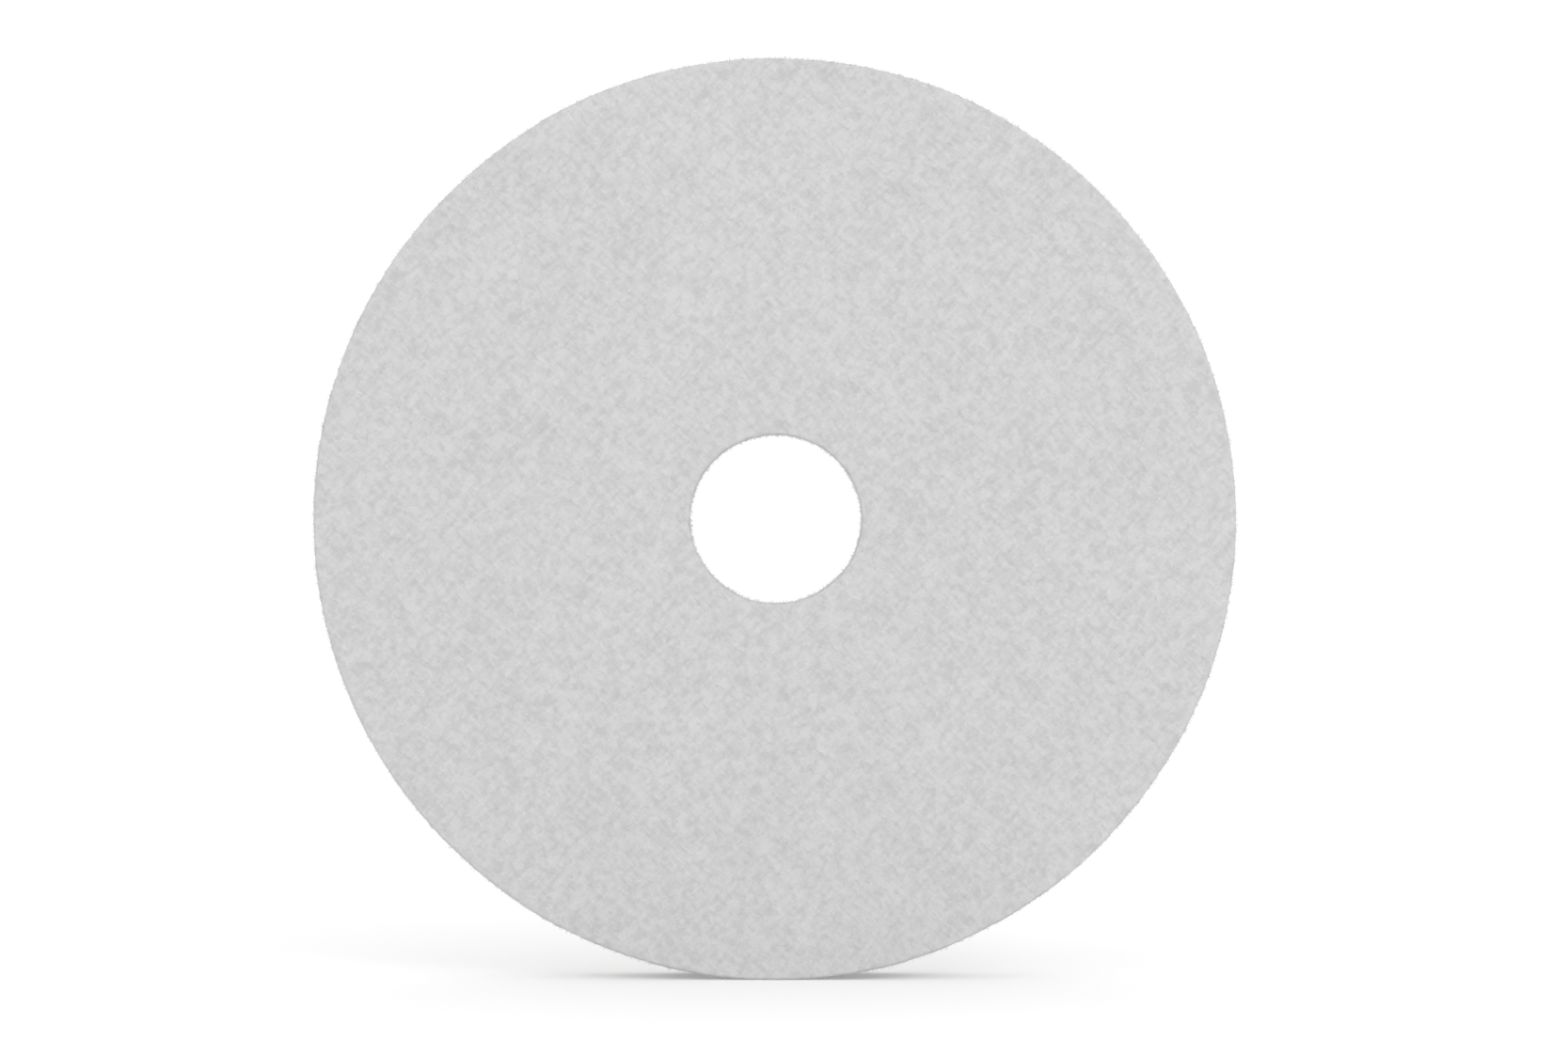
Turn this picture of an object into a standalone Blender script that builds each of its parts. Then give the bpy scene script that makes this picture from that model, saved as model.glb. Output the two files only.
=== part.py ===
"""A felt polishing wheel, 125 mm across: a pad of pressed wool, a film of hot glue and a loop-cloth back.

The three pieces are flat rings on one axis. They are laid out as they lie on a bench, working face up, and
an empty then stands the wheel on its edge: its axis lies along Y, its working face looks along -Y, and its
centre is the origin. Lengths are in metres.

Run it with: blender --background --python part.py
"""

import math

import bpy

# Driving dimensions.
WHEEL_DIAMETER = 0.1250
WHEEL_THICKNESS = 0.0100
ARBOR_DIAMETER = 0.0222
ARBOR_CLEARANCE = 0.0005

# The two thin layers behind the wool, and the gap kept between touching pieces.
FILM_THICKNESS = 0.0004
CLOTH_THICKNESS = 0.0013
GAP = 0.0003

# The die rounds the wool a little where it goes in and out, and the glue draws back from every cut edge.
WOOL_ROUNDING = 0.0005
CLOTH_ROUNDING = 0.0003
FILM_SETBACK = 0.0006

# Worked out from the sizes above.
WHEEL_RADIUS = WHEEL_DIAMETER / 2
HOLE_RADIUS = (ARBOR_DIAMETER + ARBOR_CLEARANCE) / 2
WOOL_THICKNESS = WHEEL_THICKNESS - 2 * GAP - FILM_THICKNESS - CLOTH_THICKNESS

# Facets round the wheel. Half a facet of turn stands it on a flat, and not on a corner.
FACETS = 96
HALF_FACET = math.pi / FACETS
ROUNDING_SEGMENTS = 3
SHARP_ANGLE = math.radians(40)
MERGE = 0.00001

PARTS = "felt_polishing_wheel"


def clear_scene():
    """Removes the objects that the scene starts with."""
    for thing in list(bpy.data.objects):
        bpy.data.objects.remove(thing, do_unlink=True)


def parts_collection():
    """The collection that holds the wheel's pieces."""
    collection = bpy.data.collections.new(PARTS)
    bpy.context.scene.collection.children.link(collection)
    return collection


def finish(name, colour, roughness):
    """A Principled material with one colour and one roughness, and no metal."""
    material = bpy.data.materials.new(name)
    material.use_nodes = True
    shader = material.node_tree.nodes["Principled BSDF"]
    shader.inputs["Base Color"].default_value = (*colour, 1.0)
    shader.inputs["Roughness"].default_value = roughness
    shader.inputs["Metallic"].default_value = 0.0
    return material


def ring(name, outer, inner, thickness, rounding, material):
    """A flat ring on the Z axis: a rectangle carried round by Screw, with its rims rounded by Bevel.

    The rectangle runs down the outer wall first, so that the turned faces look outwards.
    """
    half = thickness / 2
    corners = [(outer, 0, half), (outer, 0, -half), (inner, 0, -half), (inner, 0, half)]
    sides = [(0, 1), (1, 2), (2, 3), (3, 0)]
    mesh = bpy.data.meshes.new(name)
    mesh.from_pydata(corners, sides, [])
    mesh.materials.append(material)
    piece = bpy.data.objects.new(name, mesh)

    turn = piece.modifiers.new("turn", "SCREW")
    turn.axis = "Z"
    turn.angle = math.tau
    turn.steps = FACETS
    turn.render_steps = FACETS
    turn.use_merge_vertices = True
    turn.merge_threshold = MERGE
    turn.use_smooth_shade = True

    if rounding:
        edge = piece.modifiers.new("rounding", "BEVEL")
        edge.width = rounding
        edge.segments = ROUNDING_SEGMENTS
        edge.limit_method = "ANGLE"
        edge.angle_limit = SHARP_ANGLE
    return piece


def wool_pad():
    """The working piece, a thick ring die cut from hard pressed wool."""
    wool = finish("pressed_wool", (0.64, 0.64, 0.64), 0.95)
    return ring("felt_pad", WHEEL_RADIUS, HOLE_RADIUS, WOOL_THICKNESS, WOOL_ROUNDING, wool)


def glue_film():
    """The hot-melt film that holds the cloth to the wool, drawn back from both cut edges."""
    glue = finish("hot_melt_glue", (0.62, 0.60, 0.54), 0.35)
    outer = WHEEL_RADIUS - FILM_SETBACK
    inner = HOLE_RADIUS + FILM_SETBACK
    return ring("bond_film", outer, inner, FILM_THICKNESS, 0, glue)


def loop_cloth():
    """The napped loop cloth on the back, which a hook-faced backing plate grips."""
    nylon = finish("nylon_loop_cloth", (0.55, 0.55, 0.54), 0.85)
    return ring("loop_backing", WHEEL_RADIUS, HOLE_RADIUS, CLOTH_THICKNESS, CLOTH_ROUNDING, nylon)


def stack(layers, collection, parent):
    """Lays the pieces on one another from the back face up, a gap apart, and turns each half a facet."""
    bottom = -WHEEL_THICKNESS / 2
    for piece, thickness in layers:
        collection.objects.link(piece)
        piece.parent = parent
        piece.location.z = bottom + thickness / 2
        piece.rotation_euler.z = HALF_FACET
        bottom += thickness + GAP


def main():
    clear_scene()
    collection = parts_collection()
    upright = bpy.data.objects.new("wheel_upright", None)
    upright.rotation_euler.x = math.pi / 2
    collection.objects.link(upright)
    layers = [
        (loop_cloth(), CLOTH_THICKNESS),
        (glue_film(), FILM_THICKNESS),
        (wool_pad(), WOOL_THICKNESS),
    ]
    stack(layers, collection, upright)


main()
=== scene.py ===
# %% [markdown]
# # A felt polishing wheel
#
# A felt wheel is a thick ring of pressed wool. A machine turns it against stone, glass or metal, and the
# wool carries the polishing paste. This one stands on its edge on a pale floor. Its working face looks
# towards the camera, along -Y, and its back is a napped loop cloth that a hook-faced plate can grip.
#
# The solid parts are already worked out. The first cell loads them as a fixed frame, in metres, and every
# surface below is measured from it.

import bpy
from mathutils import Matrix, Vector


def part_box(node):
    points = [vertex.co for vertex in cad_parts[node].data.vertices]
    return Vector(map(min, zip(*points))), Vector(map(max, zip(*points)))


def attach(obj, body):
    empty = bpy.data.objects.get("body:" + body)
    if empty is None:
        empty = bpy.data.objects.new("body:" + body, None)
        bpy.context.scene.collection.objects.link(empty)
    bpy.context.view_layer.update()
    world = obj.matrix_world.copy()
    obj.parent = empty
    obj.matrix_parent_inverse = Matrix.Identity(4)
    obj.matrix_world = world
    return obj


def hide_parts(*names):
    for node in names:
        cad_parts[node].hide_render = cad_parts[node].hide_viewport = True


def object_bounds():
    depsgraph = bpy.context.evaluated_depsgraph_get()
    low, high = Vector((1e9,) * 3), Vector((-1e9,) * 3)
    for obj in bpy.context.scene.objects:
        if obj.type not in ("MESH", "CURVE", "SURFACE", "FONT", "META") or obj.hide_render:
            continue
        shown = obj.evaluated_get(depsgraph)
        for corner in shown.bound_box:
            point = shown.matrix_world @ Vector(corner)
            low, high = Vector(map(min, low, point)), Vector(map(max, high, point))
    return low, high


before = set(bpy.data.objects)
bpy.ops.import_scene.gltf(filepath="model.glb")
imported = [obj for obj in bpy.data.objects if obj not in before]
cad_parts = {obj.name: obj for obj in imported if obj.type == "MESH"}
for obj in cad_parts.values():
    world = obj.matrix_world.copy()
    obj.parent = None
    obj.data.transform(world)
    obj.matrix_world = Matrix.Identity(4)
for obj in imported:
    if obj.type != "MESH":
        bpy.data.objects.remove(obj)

cad_low, cad_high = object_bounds()
print("frame from", tuple(round(c, 5) for c in cad_low), "to", tuple(round(c, 5) for c in cad_high))

# %% Modules
import math

import bpy
import numpy as np

TAU = math.tau
MM = 0.001

# %% [markdown]
# ## Sizes from the frame
#
# The frame's rings have flat facets. Their corners lie on the true circles, so the largest and the smallest
# distance from the axis give the rim and the hole. The wheel stands on a facet, which is where the floor is.

# %% Measure the wheel
def corners(node):
    """The points of a frame node, as rows of x, y and z."""
    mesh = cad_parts[node].data
    flat = np.empty(len(mesh.vertices) * 3)
    mesh.vertices.foreach_get("co", flat)
    return flat.reshape(-1, 3)


wool_points = corners("felt_pad")
from_axis = np.hypot(wool_points[:, 0], wool_points[:, 2])
RIM = from_axis.max()
HOLE = from_axis.min()
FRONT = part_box("felt_pad")[0].y
WOOL_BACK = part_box("felt_pad")[1].y
FILM_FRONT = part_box("bond_film")[0].y
FILM_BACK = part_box("bond_film")[1].y
CLOTH_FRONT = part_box("loop_backing")[0].y
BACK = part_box("loop_backing")[1].y
FLOOR = cad_low.z
print(f"rim {RIM / MM:.2f} mm, hole {HOLE / MM:.2f} mm, front {FRONT / MM:.2f}, back {BACK / MM:.2f}")

# %% [markdown]
# ## The camera
#
# The wheel is seen square on. A moderately long lens keeps the rim and the hole true circles and shows
# almost nothing of the walls behind them. The camera stands a hair to the right of the axis and below it,
# which sets the wheel a little left and high in view, and no lens shift is needed.

# %% Place the camera
LENS = 85.0
SENSOR = 36.0
WHEEL_SHARE = 0.5886
CAMERA_RIGHT = 1.24 * MM
CAMERA_DOWN = 1.14 * MM

view_width = 2 * RIM / WHEEL_SHARE
camera_distance = view_width * LENS / SENSOR

camera_data = bpy.data.cameras.new("camera")
camera_data.lens = LENS
camera_data.sensor_width = SENSOR
camera = bpy.data.objects.new("camera", camera_data)
camera.location = (CAMERA_RIGHT, FRONT - camera_distance, -CAMERA_DOWN)
camera.rotation_euler = (math.pi / 2, 0, 0)
bpy.context.scene.collection.objects.link(camera)
bpy.context.scene.camera = camera
print(f"camera {camera_distance:.3f} m from the face")

# %% [markdown]
# ## Meshes from arrays
#
# Every new piece is a grid of points worked out with numpy and then handed to Blender in one go. Three
# helpers do this. One makes the mesh. One measures the volume inside it, which comes out positive only if the
# faces look outwards, so the printed line shows that a piece is the right way out. One paints a number on the
# points, for a material to read.

# %% Turn arrays into pieces
def make_piece(name, points, faces, smooth=True):
    """A mesh object from points, (n, 3), and faces, a list of (m, corners) arrays of point numbers."""
    mesh = bpy.data.meshes.new(name)
    loops = np.concatenate([f.ravel() for f in faces])
    sizes = np.concatenate([np.full(len(f), f.shape[1]) for f in faces])
    mesh.vertices.add(len(points))
    mesh.vertices.foreach_set("co", np.ascontiguousarray(points, np.float32).ravel())
    mesh.loops.add(len(loops))
    mesh.loops.foreach_set("vertex_index", loops.astype(np.int32))
    mesh.polygons.add(len(sizes))
    mesh.polygons.foreach_set("loop_start", (np.cumsum(sizes) - sizes).astype(np.int32))
    mesh.polygons.foreach_set("use_smooth", np.full(len(sizes), smooth))
    mesh.update(calc_edges=True)
    piece = bpy.data.objects.new(name, mesh)
    bpy.context.scene.collection.objects.link(piece)
    triangles = sum(len(f) * (f.shape[1] - 2) for f in faces)
    print(f"{name}: {triangles} triangles, {inside_volume(points, faces) / MM ** 3:.2f} mm3 inside")
    return piece


def inside_volume(points, faces):
    """The volume inside closed faces: the sum over their triangles of a . (b x c) / 6."""
    total = 0.0
    for f in faces:
        for k in range(1, f.shape[1] - 1):
            a, b, c = points[f[:, 0]], points[f[:, k]], points[f[:, k + 1]]
            total += np.einsum("ij,ij->", a, np.cross(b, c)) / 6
    return total


def paint(piece, name, values):
    """Stores one number for each point of a piece, for a material to read by name."""
    layer = piece.data.attributes.new(name, "FLOAT", "POINT")
    layer.data.foreach_set("value", np.ascontiguousarray(values, np.float32))


# %% [markdown]
# ## Unevenness
#
# Felt is never flat, and a die never cuts it in a perfect circle. Both are made by adding up waves: plane
# waves in random directions for the felt, and cosines round the wheel for the cut. It is quick on whole
# arrays, it has no seams, and the wavelength says directly how wide the lumps are.

# %% Random waves
WAVE_COUNT = 40
WAVE_LENGTHS = (0.75, 1.33)
POINTS_AT_ONCE = 50000


def waves(points, wavelength, seed, through=1.0):
    """A smooth random field with a spread of one.

    It is the sum of cos(k . p + phase) over random waves, divided by sqrt(count / 2). In the plane of the
    sheet each k has a random direction, and its size, the speed, is 2 pi over wavelength times a draw from
    WAVE_LENGTHS. Along Y, through the sheet, k is the speed times a draw between -through and through.
    """
    rng = np.random.default_rng(seed)
    turn = rng.uniform(0, TAU, WAVE_COUNT)
    speed = TAU / (wavelength * rng.uniform(*WAVE_LENGTHS, WAVE_COUNT))
    along_y = speed * rng.uniform(-through, through, WAVE_COUNT)
    k = np.stack([speed * np.cos(turn), along_y, speed * np.sin(turn)])
    phase = rng.uniform(0, TAU, WAVE_COUNT)
    flat = points.reshape(-1, 3)
    field = np.zeros(len(flat))
    for start in range(0, len(flat), POINTS_AT_ONCE):
        part = slice(start, start + POINTS_AT_ONCE)
        field[part] = np.cos(flat[part] @ k + phase).sum(axis=1)
    return (field / math.sqrt(WAVE_COUNT / 2)).reshape(points.shape[:-1])


# %% [markdown]
# The die leaves the hole slightly wider than it is tall, and the cut edges wander: the rim by about a tenth
# of a millimetre, the hole by half as much. The die squeezes the felt as it goes through, so the hole comes
# out a little wider at the back, and from the front its wall doesn't show. The wool, the glue and the cloth
# are cut in one stroke and share all this, so one function does it to every piece.

# %% The die's cut
HOLE_OVAL = 0.10 * MM
HOLE_WANDER = 0.020 * MM
HOLE_EASE = 0.16 * MM
HOLE_RIGHT = 0.12 * MM
HOLE_TAPER = 0.26 * MM
RIM_WANDER = 0.04 * MM
CUT_FADE = 4.0 * MM
WANDER_TURNS = range(3, 16)
RIM_SEED, HOLE_SEED = 11, 12


def wander(angle, size, seed):
    """How far a cut edge is from its circle at each angle.

    It is size times a sum of cosines, one for each number of turns, with random phases. The height of each is
    a normal draw divided by the root of its turns.
    """
    rng = np.random.default_rng(seed)
    total = np.zeros_like(angle)
    for turns in WANDER_TURNS:
        total += rng.normal() / math.sqrt(turns) * np.cos(turns * angle + rng.uniform(0, TAU))
    return size * total


def cut(points):
    """Moves points as the die left them, fully at each cut edge and not at all past CUT_FADE from it.

    The rim's radius only wanders. The hole's is eased by the thickness of the tufts on its wall, and gets
    oval * cos(2 angle), right * cos(angle), a taper that grows evenly from front to back, and its own wander.
    The fade is 1 - distance / CUT_FADE, squared. A point that would end below the floor is set on it.
    """
    x, y, z = points[..., 0], points[..., 1], points[..., 2]
    radius = np.hypot(x, z)
    angle = np.arctan2(z, x)
    at_rim = np.clip(1 - (RIM - radius) / CUT_FADE, 0, 1) ** 2
    at_hole = np.clip(1 - (radius - HOLE) / CUT_FADE, 0, 1) ** 2
    hole = HOLE_EASE + HOLE_OVAL * np.cos(2 * angle) + HOLE_RIGHT * np.cos(angle)
    hole = hole + HOLE_TAPER * (y - FRONT) / (BACK - FRONT) + wander(angle, HOLE_WANDER, HOLE_SEED)
    moved = radius + at_rim * wander(angle, RIM_WANDER, RIM_SEED) + at_hole * hole
    share = moved / radius
    standing = np.maximum(z * share, FLOOR)
    return np.stack([x * share, y, standing], axis=-1)


every_degree = np.radians(np.arange(360))
rim_range = np.ptp(wander(every_degree, RIM_WANDER, RIM_SEED))
hole_range = np.ptp(wander(every_degree, HOLE_WANDER, HOLE_SEED))
print(f"the rim wanders {rim_range / MM:.2f} mm in all, and the hole {hole_range / MM:.2f} mm")

# %% [markdown]
# ## A ring with rounded edges
#
# The wool, the glue and the cloth are all rings, so one function makes the three. A rounded rectangle is
# carried round the axis. It starts at the hole on the front face, runs out to the rim, back along the
# outer wall, in over the back face and forwards again through the hole.

# %% The ring's outline
def outline(inner, outer, front, back, rounding, rows):
    """The closed profile of a ring, as radius and y, with the outward direction at each point.

    rows is the number of points on the front face, on the outer wall, on the back face, on the hole's wall
    and on each rounded edge. A straight stretch is evenly spaced between the ends of two roundings. A
    rounding is a quarter turn of the given radius, from the direction of one side to that of the next.
    """
    face_rows, rim_rows, back_rows, hole_rows, edge_rows = rows
    sides = [
        ((inner, front), (outer, front), (0, -1), face_rows),
        ((outer, front), (outer, back), (1, 0), rim_rows),
        ((outer, back), (inner, back), (0, 1), back_rows),
        ((inner, back), (inner, front), (-1, 0), hole_rows),
    ]
    places, directions = [], []
    for start, end, out, count in sides:
        start, end, out = np.array(start), np.array(end), np.array(out, float)
        along = (end - start) / np.linalg.norm(end - start)
        t = np.linspace(0, 1, count)[:, None]
        first, last = start + along * rounding, end - along * rounding
        places.append(first + (last - first) * t)
        directions.append(np.repeat(out[None], count, axis=0))
        turn = np.linspace(0, math.pi / 2, edge_rows + 2)[1:-1, None]
        edge_out = out * np.cos(turn) + along * np.sin(turn)
        places.append(last - out * rounding + edge_out * rounding)
        directions.append(edge_out)
    return np.concatenate(places), np.concatenate(directions)


def carried_round(profile, directions, around):
    """The profile at even angles round the axis: points and outward directions, each (rows, around, 3)."""
    angle = np.arange(around) * TAU / around
    spin = np.stack([np.cos(angle), np.zeros(around), np.sin(angle)], axis=-1)
    axis = np.array([0.0, 1.0, 0.0])
    points = profile[:, None, 0:1] * spin + profile[:, None, 1:2] * axis
    outward = directions[:, None, 0:1] * spin + directions[:, None, 1:2] * axis
    return points, outward


def ring_faces(rows, around):
    """Four-cornered faces of a grid that closes on itself both ways, looking outwards."""
    row, column = np.meshgrid(np.arange(rows), np.arange(around), indexing="ij")
    next_row, next_column = (row + 1) % rows, (column + 1) % around
    quads = [row * around + column, next_row * around + column]
    quads += [next_row * around + next_column, row * around + next_column]
    return np.stack(quads, axis=-1).reshape(-1, 4)


# %% [markdown]
# ## The wool pad
#
# Pressed wool is a dense mat of curled fibres. The press leaves it with faint hollows a few millimetres wide,
# and the die rounds its edges as it goes through. Those are real shape, so they are in the mesh. The frame
# keeps a thin gap between its rings, and the wool is carried most of the way across it to the glue. Nobody
# sees its back, so it has few rows there.

# %% Relief of the wool
HOLLOW_WIDTH = 7.0 * MM
HOLLOW_DEPTH = 0.012 * MM
LUMP_WIDTH = 1.5 * MM
LUMP_DEPTH = 0.017 * MM


def wool_relief(points):
    """How far the wool's skin stands out: broad hollows plus finer lumps, each a field of random waves."""
    hollows = waves(points, HOLLOW_WIDTH, seed=21, through=0.5)
    lumps = waves(points, LUMP_WIDTH, seed=22, through=1.5)
    return HOLLOW_DEPTH * hollows + LUMP_DEPTH * lumps


# %% Make the wool pad
WOOL_ROUNDING = 0.45 * MM
WOOL_REACH = 0.25 * MM
PAD_ROWS = (90, 16, 3, 14, 4)
PAD_AROUND = 718


def lay(base, outward, height=0.0):
    """Points on the wool's skin: base moved outward by the relief and a height, then trimmed by the die."""
    return cut(base + outward * (wool_relief(base) + height)[..., None])


pad_profile, pad_out = outline(HOLE, RIM, FRONT, WOOL_BACK + WOOL_REACH, WOOL_ROUNDING, PAD_ROWS)
pad_base, pad_outward = carried_round(pad_profile, pad_out, PAD_AROUND)
pad_points = lay(pad_base, pad_outward).reshape(-1, 3)
felt = make_piece("felt_wool", pad_points, [ring_faces(*pad_base.shape[:2])])
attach(felt, "root")
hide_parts("felt_pad")

# %% [markdown]
# ## Tufts and fibres
#
# What makes felt look like felt is the tangle on top: soft tufts of many fibres, and single fibres that curl
# over them in every direction. A bump map can hint at that, but they catch light and drop shadows properly
# only when they are real. Each is a three-sided tube of a few lengths, which is enough for something a tenth
# of a millimetre thick. A tuft is the same tube, wider and pressed flat.
#
# A strand is first drawn flat. Its heading bends steadily and waves a little, and its path is the running
# sum of short steps along the heading. Each kind of strand is described once. Its bend is an angle in
# radians, its ends are sunk in the wool, its middle rides at a height above it, and its flatness is how
# thick it is for its width. Its tone runs from the dullest to the lightest, and a high rarity makes light
# ones rare.

# %% Draw strands on a flat sheet
TUFT = {
    "stations": 5,
    "length": (0.9 * MM, 2.4 * MM),
    "bend": 0.8,
    "sunk": 0.05 * MM,
    "height": 0.014 * MM,
    "radius": (0.11 * MM, 0.20 * MM),
    "flatness": 0.17,
    "tone": (0.25, 0.85),
    "rarity": 1.3,
}
FIBRE = {
    "stations": 7,
    "length": (1.4 * MM, 4.0 * MM),
    "bend": 0.6,
    "sunk": 0.03 * MM,
    "height": 0.016 * MM,
    "radius": (0.060 * MM, 0.110 * MM),
    "flatness": 0.3,
    "tone": (0.40, 1.00),
    "rarity": 2.0,
}
CURL_TURNS = 1.3
CURL_SHARE = 0.5


def flat_strands(rng, start, kind):
    """Paths of curled strands round the origin, as two arrays (count, stations).

    The heading at share s of the length is start + bend * (s - 0.5) + curl * sin(turns * s + phase), with a
    random bend and curl. Each step is length / (stations - 1) long, and the path is moved to have its middle
    at the origin.
    """
    count, steps, bend = len(start), kind["stations"] - 1, kind["bend"]
    s = (np.arange(steps) + 0.5) / steps
    length = rng.uniform(*kind["length"], (count, 1))
    steady = rng.normal(0, bend, (count, 1)) * (s - 0.5)
    curl = CURL_SHARE * bend * rng.normal(size=(count, 1))
    wavy = curl * np.sin(TAU * CURL_TURNS * s + rng.uniform(0, TAU, (count, 1)))
    heading = start[:, None] + steady + wavy
    begin = np.zeros((count, 1))
    along = np.concatenate([begin, np.cumsum(length / steps * np.cos(heading), axis=1)], axis=1)
    across = np.concatenate([begin, np.cumsum(length / steps * np.sin(heading), axis=1)], axis=1)
    return along - along.mean(axis=1, keepdims=True), across - across.mean(axis=1, keepdims=True)


HUMP_RANGE = (0.25, 1.0)
HUMP_POWER = 0.7


def humps(rng, count, kind):
    """How high each strand rides: (height + sunk) * sin(pi s) to a power, less sunk, with a random height."""
    s = np.linspace(0, 1, kind["stations"])
    tallness = rng.uniform(*HUMP_RANGE, (count, 1)) * kind["height"]
    return (tallness + kind["sunk"]) * np.sin(math.pi * s) ** HUMP_POWER - kind["sunk"]


# %% Turn paths into tubes
TUBE_SIDES = 3
TIP_SHARE = 0.35


def tubes(paths, lifted, thickness, flatness):
    """Closed three-sided tubes along many paths at once: points (n, 3) and faces.

    paths is (count, stations, 3), lifted is a direction that no path runs along, and thickness is each tube's
    radius. A ring point is path + radius * (flatness * cos a * lift + sin a * side), where lift is lifted
    made square to the path and side is square to both. The radius tapers to TIP_SHARE at both ends, as a root
    of sin(pi s), and a point that would end below the floor is set on it.
    """
    count, stations = paths.shape[:2]
    ahead = np.gradient(paths, axis=1)
    ahead /= np.linalg.norm(ahead, axis=-1, keepdims=True)
    lift = lifted - ahead * (lifted * ahead).sum(axis=-1, keepdims=True)
    lift /= np.linalg.norm(lift, axis=-1, keepdims=True)
    side = np.cross(ahead, lift)
    s = np.linspace(0, 1, stations)
    taper = TIP_SHARE + (1 - TIP_SHARE) * np.sin(math.pi * s) ** 0.5
    radius = thickness[:, None, None, None] * taper[:, None, None]
    a = (np.arange(TUBE_SIDES) * TAU / TUBE_SIDES)[:, None]
    ring = flatness * np.cos(a) * lift[:, :, None] + np.sin(a) * side[:, :, None]
    points = (paths[:, :, None] + radius * ring).reshape(-1, 3)
    points[:, 2] = np.maximum(points[:, 2], FLOOR)
    return points, tube_faces(count, stations)


def tube_faces(count, stations):
    """The walls, (n, 4), and the end caps, (n, 3), of count tubes whose points run ring by ring."""
    first = (np.arange(count) * stations * TUBE_SIDES)[:, None, None]
    ring = (np.arange(stations - 1) * TUBE_SIDES)[:, None]
    corner = np.arange(TUBE_SIDES)
    beside = (corner + 1) % TUBE_SIDES
    near, far = first + ring, first + ring + TUBE_SIDES
    walls = np.stack([near + corner, near + beside, far + beside, far + corner], axis=-1)
    begin = first[:, 0] + corner[::-1]
    end = first[:, 0] + (stations - 1) * TUBE_SIDES + corner
    return [walls.reshape(-1, 4), np.concatenate([begin, end])]


def strand_piece(name, rng, paths, lifted, kind):
    """A piece with one tube along each path, and a tone for each tube, painted on its points.

    The tone is dullest + (lightest - dullest) * an even draw to the power of rarity.
    """
    thickness = rng.uniform(*kind["radius"], len(paths))
    points, faces = tubes(paths, lifted, thickness, kind["flatness"])
    piece = make_piece(name, points, faces, smooth=False)
    dullest, lightest = kind["tone"]
    tone = dullest + (lightest - dullest) * rng.random(len(paths)) ** kind["rarity"]
    paint(piece, "tone", np.repeat(tone, paths.shape[1] * TUBE_SIDES))
    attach(piece, "root")
    return piece


# %% [markdown]
# On the face a strand lies on the wool's own relief. Before felt is pressed, its thin carded web is folded to
# and fro across itself, so most of its fibres lie near two crossed diagonals. A strand that would stick out
# past a cut edge is pushed back inside, as the die trims whatever crosses it. The work is shared among a few
# pieces, so that each mesh stays light.

# %% Lay strands on the face
TUFT_PIECES = 3
TUFTS_IN_PIECE = 6000
FIBRE_PIECES = 2
FIBRES_IN_PIECE = 5000
EDGE_MARGIN = 0.30 * MM
LAP_ANGLE = math.radians(45)
LAP_SPREAD = 0.22
DOWNWARD_SHARE = 0.55


def lapped_headings(rng, count):
    """Headings near the two diagonals: most run down to the right, the rest up to the right."""
    downward = rng.random(count) < DOWNWARD_SHARE
    return np.where(downward, -LAP_ANGLE, LAP_ANGLE) + rng.normal(0, LAP_SPREAD, count)


def random_ring(rng, count):
    """Places spread evenly over the face: the radius is the root of an even draw between the two squares."""
    radius = np.sqrt(rng.uniform(HOLE ** 2, RIM ** 2, count))
    angle = rng.uniform(0, TAU, count)
    return (radius * np.cos(angle))[:, None], (radius * np.sin(angle))[:, None]


def keep_inside(x, z):
    """Moves each path along its own radius until none of it crosses the margins at the rim and the hole."""
    middle_x, middle_z = x.mean(axis=1, keepdims=True), z.mean(axis=1, keepdims=True)
    middle = np.hypot(middle_x, middle_z)
    radius = np.hypot(x, z)
    over = np.maximum(radius.max(axis=1, keepdims=True) - (RIM - EDGE_MARGIN), 0)
    under = np.maximum((HOLE + EDGE_MARGIN) - radius.min(axis=1, keepdims=True), 0)
    push = (under - over) / middle
    return x + middle_x * push, z + middle_z * push


def face_strands(name, count, kind, seed):
    """One share of the strands on the working face."""
    rng = np.random.default_rng(seed)
    along, across = flat_strands(rng, lapped_headings(rng, count), kind)
    place_x, place_z = random_ring(rng, count)
    x, z = keep_inside(place_x + along, place_z + across)
    base = np.stack([x, np.full_like(x, FRONT), z], axis=-1)
    outward = np.broadcast_to([0.0, -1.0, 0.0], base.shape)
    paths = lay(base, outward, humps(rng, count, kind))
    return strand_piece(name, rng, paths, outward, kind)


wool_strands = []
for number in range(1, TUFT_PIECES + 1):
    wool_strands.append(face_strands(f"face_tufts_{number}", TUFTS_IN_PIECE, TUFT, seed=100 + number))
for number in range(1, FIBRE_PIECES + 1):
    wool_strands.append(face_strands(f"face_fibres_{number}", FIBRES_IN_PIECE, FIBRE, seed=200 + number))

# %% [markdown]
# In the thickness of the pad the fibres lie in layers, flat between the two faces, because the wool was
# carded into thin sheets before it was pressed. So on the two cut walls most strands run round the wheel,
# and few stand up.

# %% Lay strands on the cut walls
RIM_TUFTS = 4500
RIM_FIBRES = 2000
HOLE_TUFTS = 850
HOLE_FIBRES = 500
LAYER_SPREAD = 0.45


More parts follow.
